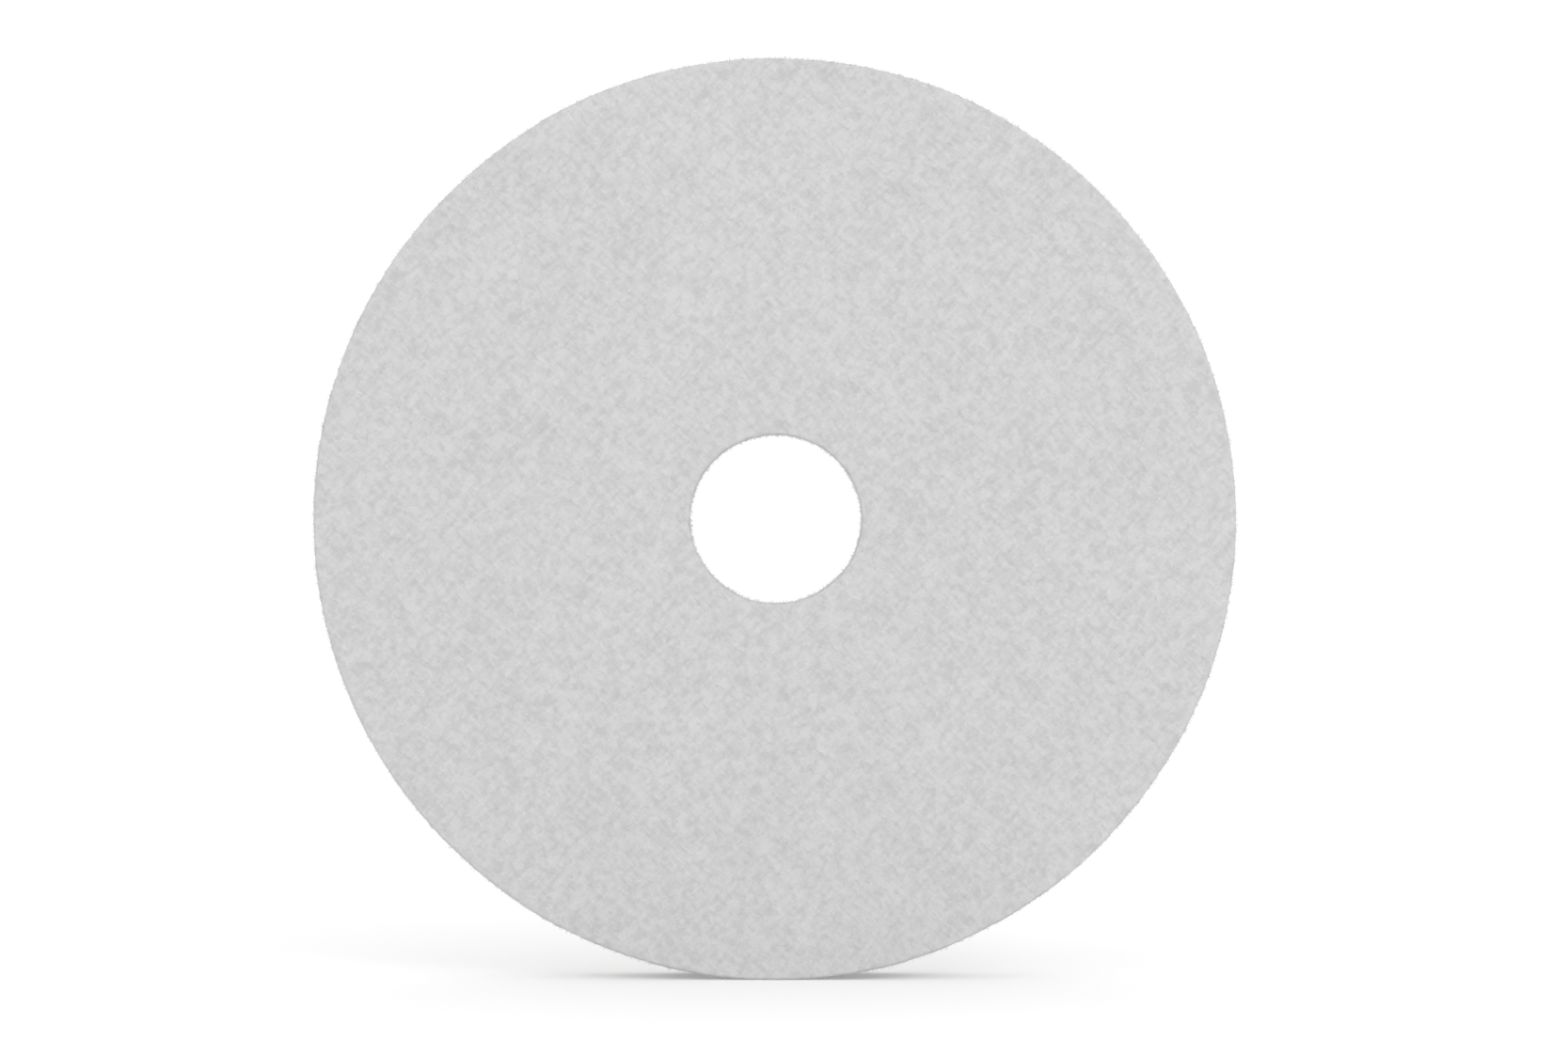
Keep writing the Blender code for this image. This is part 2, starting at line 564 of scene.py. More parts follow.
def wall_strands(name, count, kind, radius, facing, seed):
    """Strands on a cut wall: facing is 1 if the wall looks away from the axis and -1 if towards it."""
    rng = np.random.default_rng(seed)
    along, across = flat_strands(rng, rng.normal(0, LAYER_SPREAD, count), kind)
    angle = rng.uniform(0, TAU, (count, 1)) + along / radius
    y = rng.uniform(FRONT, WOOL_BACK, (count, 1)) + across
    y += np.maximum(FRONT + WOOL_ROUNDING - y.min(axis=1, keepdims=True), 0)
    y -= np.maximum(y.max(axis=1, keepdims=True) - WOOL_BACK, 0)
    spin = np.stack([np.cos(angle), np.zeros_like(angle), np.sin(angle)], axis=-1)
    base = radius * spin + np.stack([np.zeros_like(y), y, np.zeros_like(y)], axis=-1)
    outward = facing * spin
    paths = lay(base, outward, humps(rng, count, kind))
    return strand_piece(name, rng, paths, outward, kind)


wool_strands.append(wall_strands("rim_tufts", RIM_TUFTS, TUFT, RIM, facing=1, seed=301))
wool_strands.append(wall_strands("rim_fibres", RIM_FIBRES, FIBRE, RIM, facing=1, seed=302))
wool_strands.append(wall_strands("hole_tufts", HOLE_TUFTS, TUFT, HOLE, facing=-1, seed=303))
wool_strands.append(wall_strands("hole_fibres", HOLE_FIBRES, FIBRE, HOLE, facing=-1, seed=304))

# %% [markdown]
# ## Fuzz
#
# The die leaves cut ends, which spring up and blur the outline. Each hair starts at a cut wall, most often
# near its front edge. It points out of the wall, and on the rounded edge also ahead, with some disorder and a
# slight curl.

# %% Stand hairs along the cut edges
HAIR = {
    "stations": 4,
    "length": (0.10 * MM, 0.50 * MM),
    "radius": (0.014 * MM, 0.026 * MM),
    "flatness": 1.0,
    # The fuzz has lighter tones than the tufts: a random tone, and partly painted light that lifts the shade
    # among the hairs at the cut edges.
    "tone": (0.5, 1.0),
    "rarity": 1.0,
}
RIM_HAIRS = 8000
HOLE_HAIRS = 1700
HAIR_CROWDING = 3
HAIR_DISORDER = 0.7
HAIR_CURL = 0.35
HAIR_SINK = 0.3 * WOOL_ROUNDING


def unit(vectors):
    """The same directions with length 1."""
    return vectors / np.linalg.norm(vectors, axis=-1, keepdims=True)


def edge_hairs(name, count, radius, facing, seed):
    """Hairs on one cut wall, each a path foot + length * (s * way + curl * s ** 2 * aside).

    A foot's depth behind the front is an even draw to the power HAIR_CROWDING, times the wall's depth.
    """
    rng = np.random.default_rng(seed)
    angle = rng.uniform(0, TAU, count)
    depth = rng.uniform(0, 1, count) ** HAIR_CROWDING * (WOOL_BACK - FRONT)
    spin = np.stack([np.cos(angle), np.zeros(count), np.sin(angle)], axis=-1)
    ahead = np.array([0.0, -1.0, 0.0])
    near_edge = np.clip(1 - depth / WOOL_ROUNDING, 0, 1)[:, None]
    straight = facing * spin + ahead * near_edge
    way = unit(unit(straight) + HAIR_DISORDER * rng.normal(size=(count, 3)) / math.sqrt(3))
    aside = unit(np.cross(way, rng.normal(size=(count, 3))))
    sunk = HAIR_SINK * near_edge
    foot = spin * (radius - facing * sunk) - ahead * (depth[:, None] + sunk)
    foot[:, 1] += FRONT
    s = np.linspace(0, 1, HAIR["stations"])[None, :, None]
    length = rng.uniform(*HAIR["length"], count)[:, None, None]
    paths = cut(foot)[:, None] + length * (s * way[:, None] + HAIR_CURL * s ** 2 * aside[:, None])
    lifted = np.broadcast_to(np.cross(way, aside)[:, None], paths.shape)
    return strand_piece(name, rng, paths, lifted, HAIR)


wool_strands.append(edge_hairs("rim_fuzz", RIM_HAIRS, RIM, facing=1, seed=401))
wool_strands.append(edge_hairs("hole_fuzz", HOLE_HAIRS, HOLE, facing=-1, seed=402))

# %% [markdown]
# ## The glue line
#
# A film of hot glue holds the cloth to the wool. It flows a little when it is pressed, so its edge is a
# rounded bead that comes nearer to the cut in some places than in others.

# %% Make the glue line
GLUE_SETBACK = 0.45 * MM
GLUE_WANDER = 0.09 * MM
GLUE_ROUNDING = 0.15 * MM
GLUE_ROWS = (3, 3, 3, 3, 4)
GLUE_AROUND = 540
GLUE_RIM_SEED, GLUE_HOLE_SEED = 13, 14


def flowed(points):
    """Moves the outer half of the ring's section by one wander and the inner half by another."""
    radius = np.hypot(points[..., 0], points[..., 2])
    angle = np.arctan2(points[..., 2], points[..., 0])
    at_rim = wander(angle, GLUE_WANDER, GLUE_RIM_SEED)
    at_hole = wander(angle, GLUE_WANDER, GLUE_HOLE_SEED)
    moved = radius + np.where(radius > (RIM + HOLE) / 2, at_rim, at_hole)
    share = (moved / radius)[..., None]
    return np.concatenate([points[..., :1] * share, points[..., 1:2], points[..., 2:] * share], axis=-1)


glue_profile, glue_out = outline(
    HOLE + GLUE_SETBACK, RIM - GLUE_SETBACK, FILM_FRONT, FILM_BACK, GLUE_ROUNDING, GLUE_ROWS)
glue_base, _ = carried_round(glue_profile, glue_out, GLUE_AROUND)
glue_points = cut(flowed(glue_base)).reshape(-1, 3)
glue = make_piece("glue_line", glue_points, [ring_faces(*glue_base.shape[:2])])
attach(glue, "root")
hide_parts("bond_film")

# %% [markdown]
# ## The loop cloth
#
# The back is a knitted nylon cloth. Its ground is a thin sheet with a rib along every column of stitches,
# and it was cut with the wool, as a ring from a square. The ribs are a cosine across the cloth, which a ring
# of rows and columns can carry as real shape. The ground is carried across most of the frame's gap, like the
# wool, so it lies on the glue.

# %% Make the knitted ground
GROUND_REACH = 0.28 * MM
GROUND_DEPTH = 0.20 * MM
GROUND_FRONT = CLOTH_FRONT - GROUND_REACH
GROUND_BACK = CLOTH_FRONT + GROUND_DEPTH
GROUND_ROUNDING = 0.12 * MM
GROUND_ROWS = (3, 4, 96, 4, 3)
GROUND_AROUND = 640
COLUMN_GAP = 1.6 * MM
RIB_DEPTH = 0.030 * MM
SLACK_SHARE = 0.6
SLACK_WIDTH = 5.0 * MM


def ribs(points):
    """How far the ground stands out: a cosine across the columns of stitches, plus random waves of slack."""
    column = np.cos(TAU * points[..., 0] / COLUMN_GAP)
    return RIB_DEPTH * (column + SLACK_SHARE * waves(points, SLACK_WIDTH, seed=31))


ground_profile, ground_out = outline(HOLE, RIM, GROUND_FRONT, GROUND_BACK, GROUND_ROUNDING, GROUND_ROWS)
ground_base, ground_outward = carried_round(ground_profile, ground_out, GROUND_AROUND)
at_back = np.maximum(ground_outward[..., 1], 0) * ribs(ground_base)
ground_points = cut(ground_base + ground_outward * at_back[..., None]).reshape(-1, 3)
ground = make_piece("cloth_ground", ground_points, [ring_faces(*ground_base.shape[:2])])
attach(ground, "root")
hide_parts("loop_backing")

# %% [markdown]
# The pile is thousands of small loops of yarn, one from each stitch, brushed so that they lean every way.
# Hooks catch in them. A loop's path is an arch, a little wider in its middle than at its feet, and it gets
# the same light tube as a fibre.

# %% Stand the loops on the ground
LOOP = {
    "stations": 8,
    "radius": (0.045 * MM, 0.065 * MM),
    "flatness": 1.0,
    "tone": (0.0, 1.0),
    "rarity": 1.0,
}
LOOP_PIECES = 3
STITCH_GAP = 1.0 * MM
LOOP_JITTER = 0.17 * MM
LOOP_SPAN = (0.8 * MM, 1.5 * MM)
LOOP_TALLNESS = (0.62, 0.93)
LOOP_LEAN = 0.45
LOOP_BULGE = 0.35
LOOP_POWER = 0.8
PILE_MARGIN = 0.9 * MM
OUT_OF_BACK = np.array([0.0, 1.0, 0.0])


def stitches(rng):
    """A loop's place for each stitch of the ring: rows and columns, each place moved a little at random."""
    columns = math.ceil(RIM / COLUMN_GAP)
    across = np.arange(-columns, columns + 1) * COLUMN_GAP
    up = np.arange(-RIM, RIM, STITCH_GAP)
    x, z = (grid.ravel() for grid in np.meshgrid(across, up))
    x = x + rng.normal(0, LOOP_JITTER, x.shape)
    z = z + rng.normal(0, LOOP_JITTER, z.shape)
    radius = np.hypot(x, z)
    inside = (radius < RIM - PILE_MARGIN) & (radius > HOLE + PILE_MARGIN)
    return x[inside], z[inside]


def loop_paths(rng, x, z):
    """Arches over the ground, as (count, stations, 3), and the direction square to each arch.

    At share s, the path along the arch is -span / 2 * cos(pi s) * (1 + bulge * sin(pi s)), it is raised by
    height * sin(pi s) to a power, and it leans aside by lean * sin(pi s).
    """
    count = len(x)
    s = np.linspace(0, 1, LOOP["stations"])
    arch = np.sin(math.pi * s)
    span = rng.uniform(*LOOP_SPAN, (count, 1))
    height = rng.uniform(*LOOP_TALLNESS, (count, 1)) * (BACK - GROUND_BACK)
    lean = rng.normal(0, LOOP_LEAN, (count, 1)) * height
    heading = rng.uniform(0, TAU, count)
    along = np.stack([np.cos(heading), np.zeros(count), np.sin(heading)], axis=-1)[:, None]
    aside = np.stack([-np.sin(heading), np.zeros(count), np.cos(heading)], axis=-1)[:, None]
    foot = np.stack([x, np.full(count, GROUND_BACK), z], axis=-1)[:, None]
    forward = (-span / 2 * np.cos(math.pi * s) * (1 + LOOP_BULGE * arch))[..., None]
    raised = (height * arch ** LOOP_POWER)[..., None] * OUT_OF_BACK
    paths = foot + along * forward + raised + aside * (lean * arch)[..., None]
    square = unit(aside - OUT_OF_BACK * (lean / height)[..., None])
    return paths, np.broadcast_to(square, paths.shape)


loop_rng = np.random.default_rng(501)
stitch_x, stitch_z = stitches(loop_rng)
turn_of = np.arange(len(stitch_x)) % LOOP_PIECES
loops = []
for number in range(LOOP_PIECES):
    chosen = turn_of == number
    paths, square = loop_paths(loop_rng, stitch_x[chosen], stitch_z[chosen])
    name = f"pile_loops_{number + 1}"
    loops.append(strand_piece(name, loop_rng, paths, square, LOOP))
print(f"{len(stitch_x)} loops")

# %% [markdown]
# ## Finishes
#
# A finish is a shader with the wear, weave or grain of its own material. Effects that several finishes use
# are node groups. They give out only masks, and each finish decides what a mask does to its colour, its
# roughness and its bumps. A few helpers keep the node code short.

# %% Node helpers
def add(tree, kind, inputs=None, **settings):
    """A new node with these settings. Each input is given a value or wired to another node's output."""
    node = tree.nodes.new(kind)
    for name, value in settings.items():
        setattr(node, name, value)
    for key, value in (inputs or {}).items():
        if isinstance(value, bpy.types.NodeSocket):
            tree.links.new(value, node.inputs[key])
        else:
            node.inputs[key].default_value = value
    return node


def work_out(tree, operation, *values, clamp=False):
    """The result of one Math node."""
    inputs = dict(enumerate(values))
    return add(tree, "ShaderNodeMath", inputs, operation=operation, use_clamp=clamp).outputs[0]


def move(tree, operation, *values):
    """The result of one Vector Math node."""
    return add(tree, "ShaderNodeVectorMath", dict(enumerate(values)), operation=operation).outputs[0]


def stretched(tree, value, low, high):
    """A number's range from low to high, stretched to run from 0 to 1 and held there beyond it."""
    inputs = {"Value": value, "From Min": low, "From Max": high}
    return add(tree, "ShaderNodeMapRange", inputs).outputs["Result"]


def noise_of(tree, place, frequency, detail=1.0):
    """A noise of one number."""
    inputs = {"Vector": place, "Scale": frequency, "Detail": detail}
    return add(tree, "ShaderNodeTexNoise", inputs).outputs["Fac"]


def new_group(name, inputs, outputs):
    """A node group with named inputs, each with its kind and first value, and number outputs."""
    group = bpy.data.node_groups.new(name, "ShaderNodeTree")
    for title, kind, value in inputs:
        group.interface.new_socket(title, in_out="INPUT", socket_type=kind).default_value = value
    for title in outputs:
        group.interface.new_socket(title, in_out="OUTPUT", socket_type="NodeSocketFloat")
    return group, group.nodes.new("NodeGroupInput").outputs, group.nodes.new("NodeGroupOutput").inputs


# %% [markdown]
# The first effect is the tangle of fibres. A noise has a smooth value everywhere, and the places where it
# passes its middle value form thin winding lines. Two such sets of lines, each drawn out along its own lap,
# bent by a slower noise and broken up by another, look like fibres that dive in and out of the surface. The
# sum of the same two noises gives the soft grain of tufts under them.

# %% Group: fibre tangle
TANGLE_LINE = 0.055
LAP_STRETCH = 2.9
LAP_DETAIL = 0.3
DOWN_SHIFT = (0.31, 0.17, 0.43)
UP_SHIFT = (0.73, 0.59, 0.11)
DRIFT_PACE = 0.6
DRIFT_REACH = 1.6
GAP_RANGE = (0.42, 0.56)
GRAIN_RANGE = (0.64, 1.36)


def drawn_out(tree, place, turn, shift):
    """A place in which a noise is LAP_STRETCH times as long one way, turned about Y and shifted to differ."""
    inputs = {"Vector": place, "Location": shift, "Rotation": (0, turn, 0), "Scale": (LAP_STRETCH, 1, 1)}
    return add(tree, "ShaderNodeMapping", inputs, vector_type="TEXTURE").outputs["Vector"]


def lines_of(tree, noise):
    """Thin winding lines: 1 - |noise - 0.5| / TANGLE_LINE, and never less than 0."""
    off = work_out(tree, "ABSOLUTE", work_out(tree, "SUBTRACT", noise, 0.5))
    return work_out(tree, "SUBTRACT", 1.0, work_out(tree, "DIVIDE", off, TANGLE_LINE), clamp=True)


def make_fibre_tangle():
    """Group from a position and a spacing in metres to Strokes, thin lines, and Grain, soft lumps."""
    inputs = [("Position", "NodeSocketVector", (0, 0, 0)), ("Spacing", "NodeSocketFloat", 1.5 * MM)]
    tree, given, result = new_group("fibre_tangle", inputs, ["Strokes", "Grain"])
    place, spacing = given["Position"], given["Spacing"]
    frequency = work_out(tree, "DIVIDE", 1.0, spacing)
    slow = work_out(tree, "MULTIPLY", frequency, DRIFT_PACE)
    drift = add(tree, "ShaderNodeTexNoise", {"Vector": place, "Scale": slow, "Detail": 1.0}).outputs["Color"]
    centred = move(tree, "SUBTRACT", drift, (0.5, 0.5, 0.5))
    reach = work_out(tree, "MULTIPLY", spacing, DRIFT_REACH)
    push = add(tree, "ShaderNodeVectorMath", {0: centred, "Scale": reach}, operation="SCALE").outputs[0]
    bent = move(tree, "ADD", place, push)
    down = noise_of(tree, drawn_out(tree, bent, LAP_ANGLE, DOWN_SHIFT), frequency, LAP_DETAIL)
    up = noise_of(tree, drawn_out(tree, bent, -LAP_ANGLE, UP_SHIFT), frequency, LAP_DETAIL)
    lines = work_out(tree, "MAXIMUM", lines_of(tree, down), lines_of(tree, up))
    kept = stretched(tree, noise_of(tree, place, frequency, detail=0.0), *GAP_RANGE)
    tree.links.new(work_out(tree, "MULTIPLY", lines, kept), result["Strokes"])
    tree.links.new(stretched(tree, work_out(tree, "ADD", down, up), *GRAIN_RANGE), result["Grain"])
    return tree


FIBRE_TANGLE = make_fibre_tangle()
print(f"{FIBRE_TANGLE.name}: {len(FIBRE_TANGLE.nodes)} nodes")

# %% [markdown]
# The second effect is a slow cloudiness, some millimetres wide. Wool, glue and yarn all have it, because none
# of them takes the light quite evenly.

# %% Group: mottle
CLOUD_RANGE = (0.3, 0.7)


def make_mottle():
    """Group from a position and a width in metres to Cloud, a slow noise spread over 0 to 1."""
    inputs = [("Position", "NodeSocketVector", (0, 0, 0)), ("Width", "NodeSocketFloat", 8 * MM)]
    tree, given, result = new_group("mottle", inputs, ["Cloud"])
    frequency = work_out(tree, "DIVIDE", 1.0, given["Width"])
    noise = noise_of(tree, given["Position"], frequency, detail=2.0)
    tree.links.new(stretched(tree, noise, *CLOUD_RANGE), result["Cloud"])
    return tree


MOTTLE = make_mottle()
print(f"{MOTTLE.name}: {len(MOTTLE.nodes)} nodes")

# %% [markdown]
# ## The wool's finish
#
# White wool is a light neutral grey in soft light, quite dull, with a faint sheen at the edge from the fuzz.
# Base, tufts and fibres share one material, so that a pattern runs on from one to the next. An attribute says
# how much of each point is cut wall, and there the tangle is drawn out along the cut. There, and partly on
# the rounded edges, the colour is also painted darker than on the face: painted shade.

# %% Material: pressed wool
WOOL_DARK = (0.460, 0.460, 0.460, 1)
WOOL_LIGHT = (0.760, 0.760, 0.760, 1)
FACE_SPACING = 0.59 * MM
WALL_SPACING = 0.90 * MM
FACE_SHADE = 0.319
# The cut walls, and partly the rounded edges, take a lower tone than the face: painted shade.
WALL_TONE_WITH_PAINTED_SHADE = 0.27
WALL_CONTRAST = 1.3
WALL_STRETCH = (0.28, 1.80, 0.28)
STROKE_SHARE = 0.13
GRAIN_SHARE = 0.28
CLOUD_SHARE = 0.05
CLOUD_WIDTH = 9.0 * MM
TONE_SHARE = 0.34
MIDDLE_TONE = 0.5
WOOL_BUMP = 0.012 * MM
GRAIN_HEIGHT = 0.8


def finish(name, roughness, specular):
    """A new material with its node tree and shader."""
    material = bpy.data.materials.new(name)
    material.use_nodes = True
    shader = material.node_tree.nodes["Principled BSDF"]
    shader.inputs["Roughness"].default_value = roughness
    shader.inputs["Specular IOR Level"].default_value = specular
    return material, material.node_tree, shader


def blend(tree, share, first, second):
    """A number that goes from first to second as share goes from 0 to 1."""
    inputs = {"Factor": share, "A": first, "B": second}
    return add(tree, "ShaderNodeMix", inputs, data_type="FLOAT").outputs["Result"]


def colour_between(tree, share, dark, light):
    """A colour that goes from dark to light as share goes from 0 to 1."""
    node = add(tree, "ShaderNodeMix", data_type="RGBA")
    tree.links.new(share, node.inputs[0])
    node.inputs[6].default_value = dark
    node.inputs[7].default_value = light
    return node.outputs[2]


def about_half(tree, mask, share):
    """A mask's effect on a shade: share * (mask - 0.5)."""
    return work_out(tree, "MULTIPLY", work_out(tree, "SUBTRACT", mask, 0.5), share)


def attribute(tree, name):
    """A number painted on a piece's points."""
    return add(tree, "ShaderNodeAttribute", attribute_name=name).outputs["Fac"]


def tangle_of(tree, place, spacing):
    """The outputs Strokes and Grain of the fibre tangle, placed in a material."""
    inputs = {"Position": place, "Spacing": spacing}
    return add(tree, "ShaderNodeGroup", inputs, node_tree=FIBRE_TANGLE).outputs


def cloud_of(tree, place, width):
    """The output Cloud of the mottle, placed in a material."""
    inputs = {"Position": place, "Width": width}
    return add(tree, "ShaderNodeGroup", inputs, node_tree=MOTTLE).outputs["Cloud"]


def raise_bumps(tree, shader, height, strength, distance):
    """Bumps on a shader, as high as distance where height is 1."""
    bump = add(tree, "ShaderNodeBump", {"Height": height, "Strength": strength, "Distance": distance})
    tree.links.new(bump.outputs["Normal"], shader.inputs["Normal"])


def make_wool():
    """Dull light grey: strokes, grain, cloud, tone and painted wall shade in its colour, strokes and grain in
    its bumps.
    """
    material, tree, shader = finish("wool_felt", roughness=0.95, specular=0.10)
    shader.inputs["Sheen Weight"].default_value = 0.05
    shader.inputs["Sheen Roughness"].default_value = 0.6
    place = add(tree, "ShaderNodeTexCoord").outputs["Object"]
    face = tangle_of(tree, place, FACE_SPACING)
    wall = tangle_of(tree, move(tree, "MULTIPLY", place, WALL_STRETCH), WALL_SPACING)
    cloud = cloud_of(tree, place, CLOUD_WIDTH)
    cut_share = attribute(tree, "cut_share")
    strokes = blend(tree, cut_share, face["Strokes"], wall["Strokes"])
    grain = blend(tree, cut_share, face["Grain"], wall["Grain"])
    drawn = work_out(tree, "MULTIPLY", strokes, STROKE_SHARE)
    pattern = work_out(tree, "ADD", drawn, about_half(tree, grain, GRAIN_SHARE))
    pattern = work_out(tree, "MULTIPLY", pattern, blend(tree, cut_share, 1.0, WALL_CONTRAST))
    # Painted shade: the cut walls, and partly the rounded edges, are coloured darker than the face.
    shade = work_out(tree, "ADD", blend(tree, cut_share, FACE_SHADE, WALL_TONE_WITH_PAINTED_SHADE), pattern)
    shade = work_out(tree, "ADD", shade, about_half(tree, cloud, CLOUD_SHARE))
    shade = work_out(tree, "ADD", shade, about_half(tree, attribute(tree, "tone"), TONE_SHARE), clamp=True)
    tree.links.new(colour_between(tree, shade, WOOL_DARK, WOOL_LIGHT), shader.inputs["Base Color"])
    height = work_out(tree, "ADD", strokes, work_out(tree, "MULTIPLY", grain, GRAIN_HEIGHT))
    raise_bumps(tree, shader, height, strength=1.0, distance=WOOL_BUMP)
    return material


wool = make_wool()
on_wall = np.clip(1 - np.abs(pad_outward[..., 1]), 0, 1)
paint(felt, "cut_share", on_wall.ravel())
paint(felt, "tone", np.full(on_wall.size, MIDDLE_TONE))
felt.data.materials.append(wool)
for piece in wool_strands:
    cut_wall = 0.0 if piece.name.startswith("face") else 1.0
    paint(piece, "cut_share", np.full(len(piece.data.vertices), cut_wall))
    piece.data.materials.append(wool)
print(f"{wool.name}: {len(wool.node_tree.nodes)} nodes, on {1 + len(wool_strands)} pieces")

# %% [markdown]
# ## The glue's finish
#
# Set hot glue is smooth, a little yellow and cloudy, and its bead has small ripples.

# %% Material: hot glue
GLUE_CLEAR = (0.560, 0.500, 0.360, 1)
GLUE_CLOUDY = (0.680, 0.640, 0.520, 1)
GLUE_CLOUD_WIDTH = 3.0 * MM
GLUE_ROUGHNESS = (0.28, 0.45)
RIPPLE_WIDTH = 1.0 * MM
RIPPLE_BUMP = 0.05 * MM


def make_glue():
    """Satin and pale yellow, with a cloud in its colour and roughness and ripples in its bumps."""
    material, tree, shader = finish("hot_glue", roughness=0.35, specular=0.50)
    place = add(tree, "ShaderNodeTexCoord").outputs["Object"]
    cloud = cloud_of(tree, place, GLUE_CLOUD_WIDTH)
    tree.links.new(colour_between(tree, cloud, GLUE_CLEAR, GLUE_CLOUDY), shader.inputs["Base Color"])
    tree.links.new(blend(tree, cloud, *GLUE_ROUGHNESS), shader.inputs["Roughness"])
    ripples = noise_of(tree, place, 1 / RIPPLE_WIDTH)
    raise_bumps(tree, shader, ripples, strength=0.6, distance=RIPPLE_BUMP)
    return material


hot_glue = make_glue()
glue.data.materials.append(hot_glue)
print(f"{hot_glue.name}: {len(hot_glue.node_tree.nodes)} nodes")

# %% [markdown]
# ## The cloth's finish
#
# Nylon yarn is smoother than wool, so it has small soft highlights. The ground shows its stitches as a fine
# grid of bumps over the ribs. Loops differ in tone, because some yarn is brushed out thin and some is not.

# %% Material: knitted nylon
YARN_DARK = (0.420, 0.420, 0.410, 1)
YARN_LIGHT = (0.860, 0.860, 0.845, 1)
STITCH_SHARE = 0.12
STITCH_BUMP = 0.06 * MM
BRUSHED_SPACING = 0.8 * MM
BRUSHED_SHARE = 0.4
YARN_SHADE = (0.45, 0.85)
YARN_ROUGHNESS = (0.60, 0.42)
FILAMENT_WIDTH = 0.4 * MM
FILAMENT_SHARE = 0.3
FILAMENT_BUMP = 0.02 * MM


def make_ground():
    """Stitches, a cosine across the ribs times a cosine along them, under a tangle of brushed yarn."""
    material, tree, shader = finish("knitted_ground", roughness=0.80, specular=0.25)
    place = add(tree, "ShaderNodeTexCoord").outputs["Object"]
    axes = add(tree, "ShaderNodeSeparateXYZ", {"Vector": place}).outputs
    across = work_out(tree, "COSINE", work_out(tree, "MULTIPLY", axes["X"], TAU / (COLUMN_GAP / 2)))
    along = work_out(tree, "COSINE", work_out(tree, "MULTIPLY", axes["Z"], TAU / (STITCH_GAP / 2)))
    stitch = work_out(tree, "MULTIPLY", across, along)
    brushed = tangle_of(tree, place, BRUSHED_SPACING)
    shade = work_out(tree, "ADD", work_out(tree, "MULTIPLY", stitch, STITCH_SHARE), brushed["Grain"])
    hairs = work_out(tree, "MULTIPLY", brushed["Strokes"], BRUSHED_SHARE)
    shade = work_out(tree, "ADD", shade, hairs, clamp=True)
    tree.links.new(colour_between(tree, shade, YARN_DARK, YARN_LIGHT), shader.inputs["Base Color"])
    height = work_out(tree, "ADD", stitch, brushed["Strokes"])
    raise_bumps(tree, shader, height, strength=1.0, distance=STITCH_BUMP)
    return material


def make_yarn():
    """Loops of yarn: each one's tone in its colour and roughness, with filaments in its bumps."""
    material, tree, shader = finish("pile_yarn", roughness=0.50, specular=0.40)
    shader.inputs["Sheen Weight"].default_value = 0.15
    tone = attribute(tree, "tone")
    place = add(tree, "ShaderNodeTexCoord").outputs["Object"]
    filaments = cloud_of(tree, place, FILAMENT_WIDTH)
    uneven = about_half(tree, filaments, FILAMENT_SHARE)
    shade = work_out(tree, "ADD", blend(tree, tone, *YARN_SHADE), uneven, clamp=True)
    tree.links.new(colour_between(tree, shade, YARN_DARK, YARN_LIGHT), shader.inputs["Base Color"])
    tree.links.new(blend(tree, tone, *YARN_ROUGHNESS), shader.inputs["Roughness"])
    raise_bumps(tree, shader, filaments, strength=0.5, distance=FILAMENT_BUMP)
    return material


knit = make_ground()
ground.data.materials.append(knit)
yarn = make_yarn()
for piece in loops:
    piece.data.materials.append(yarn)
print(f"{knit.name}: {len(knit.node_tree.nodes)} nodes, {yarn.name}: {len(yarn.node_tree.nodes)} nodes")

# %% [markdown]
# ## The floor and the light
#
# The floor is a wide pale disc that glows faintly, like a light table, which keeps the gap under the rim from
# going black. The rest of the light is a white room: a bright surround, a very large soft lamp overhead,
# whose shade under the rim is what grounds the wheel, and a smaller lamp in front on the right. The camera
# sees the surround as plain white.

# %% Lay the floor
FLOOR_RADIUS = 4.0
FLOOR_SIDES = 96
FLOOR_WHITE = (0.713, 0.713, 0.713, 1)
FLOOR_GLOW = 0.20

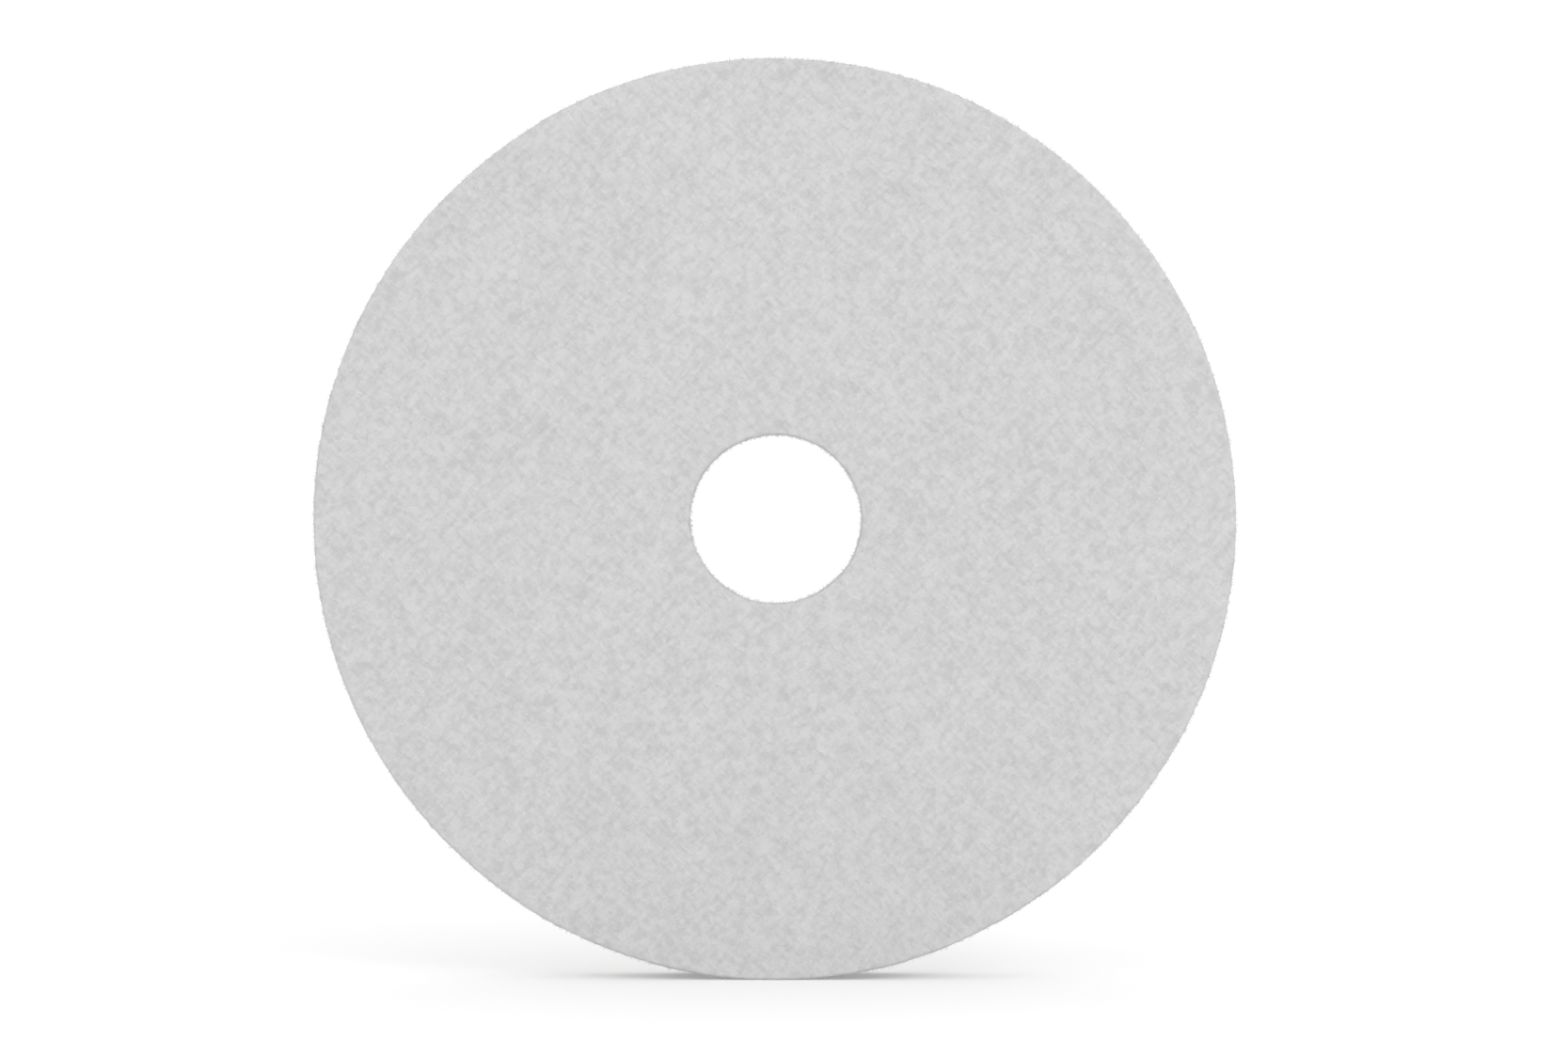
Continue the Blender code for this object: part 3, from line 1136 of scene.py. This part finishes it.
bpy.ops.mesh.primitive_circle_add(
    vertices=FLOOR_SIDES, radius=FLOOR_RADIUS, fill_type="NGON", location=(0, 0, FLOOR))
floor = bpy.context.object
floor.name = "floor"
floor_paint, _, floor_shader = finish("floor_paint", roughness=0.95, specular=0.0)
floor_shader.inputs["Base Color"].default_value = FLOOR_WHITE
floor_shader.inputs["Emission Color"].default_value = (1, 1, 1, 1)
floor_shader.inputs["Emission Strength"].default_value = FLOOR_GLOW
floor.data.materials.append(floor_paint)
print(f"floor at {FLOOR / MM:.2f} mm, {FLOOR_RADIUS:.0f} m in radius")

# %% Light the scene
from mathutils import Vector

SURROUND = 0.854
SEEN_WHITE = 1.05
OVERHEAD_POWER = 1.03
OVERHEAD_SPREAD = 132.6
OVERHEAD_AROUND = 21.5
OVERHEAD_UP = 85.7
FRONT_POWER = 1.27
FRONT_SIZE = 0.375
FRONT_PLACE = (0.491, -0.771, 0.531)


def light_the_room():
    """A world that lights the wheel evenly, and that the camera sees as a plain brighter white."""
    world = bpy.data.worlds.new("white_room")
    bpy.context.scene.world = world
    world.use_nodes = True
    tree = world.node_tree
    tree.nodes.clear()
    white = (1, 1, 1, 1)
    lighting = add(tree, "ShaderNodeBackground", {"Color": white, "Strength": SURROUND}).outputs[0]
    seen = add(tree, "ShaderNodeBackground", {"Color": white, "Strength": SEEN_WHITE}).outputs[0]
    by_camera = add(tree, "ShaderNodeLightPath").outputs["Is Camera Ray"]
    either = add(tree, "ShaderNodeMixShader", {0: by_camera, 1: lighting, 2: seen}).outputs[0]
    add(tree, "ShaderNodeOutputWorld", {"Surface": either})


def lamp(name, kind, energy, source, place=(0, 0, 0)):
    """A lamp at a place, turned so that its light comes from the direction that source gives."""
    data = bpy.data.lights.new(name, kind)
    data.energy = energy
    holder = bpy.data.objects.new(name, data)
    holder.location = place
    holder.rotation_euler = Vector(source).to_track_quat("Z", "Y").to_euler()
    bpy.context.scene.collection.objects.link(holder)
    return data


light_the_room()
around, up = math.radians(OVERHEAD_AROUND), math.radians(OVERHEAD_UP)
overhead_source = (math.sin(around) * math.cos(up), -math.cos(around) * math.cos(up), math.sin(up))
overhead = lamp("overhead", "SUN", OVERHEAD_POWER, overhead_source)
overhead.angle = math.radians(OVERHEAD_SPREAD)
front = lamp("front_lamp", "AREA", FRONT_POWER, source=FRONT_PLACE, place=FRONT_PLACE)
front.shape = "DISK"
front.size = FRONT_SIZE
bpy.context.scene.view_settings.view_transform = "Standard"
print(f"{len(bpy.data.lights)} lamps and a bright surround")
